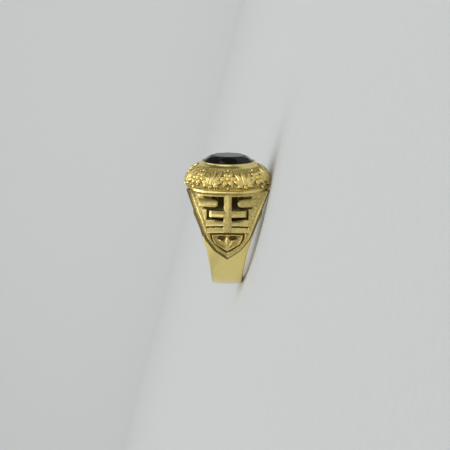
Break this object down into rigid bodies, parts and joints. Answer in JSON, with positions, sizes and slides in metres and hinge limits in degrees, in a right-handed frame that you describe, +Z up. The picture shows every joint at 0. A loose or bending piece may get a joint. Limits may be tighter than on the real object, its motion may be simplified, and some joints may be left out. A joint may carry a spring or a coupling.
{
  "type": "onyx ring",
  "caption": "Man's cast gold ring lying on its side, with an oval faceted black onyx, pierced shoulders with a cross and an ornamented head.",
  "frame": {"origin": "on the surface that the ring lies on, under the middle of the box that it fills", "axes": "+Z up; +X along the ground towards the stone; Y from shoulder to shoulder. The finger's axis leans 14.4 degrees from +Z, towards -X at its top"},
  "size_m": [0.0254, 0.024, 0.0156],
  "materials": {
    "gold": "polished",
    "onyx": "polished"
  },
  "bodies": {
    "root": {"ring_body": "gold", "onyx_stone": "onyx"}
  },
  "joints": []
}
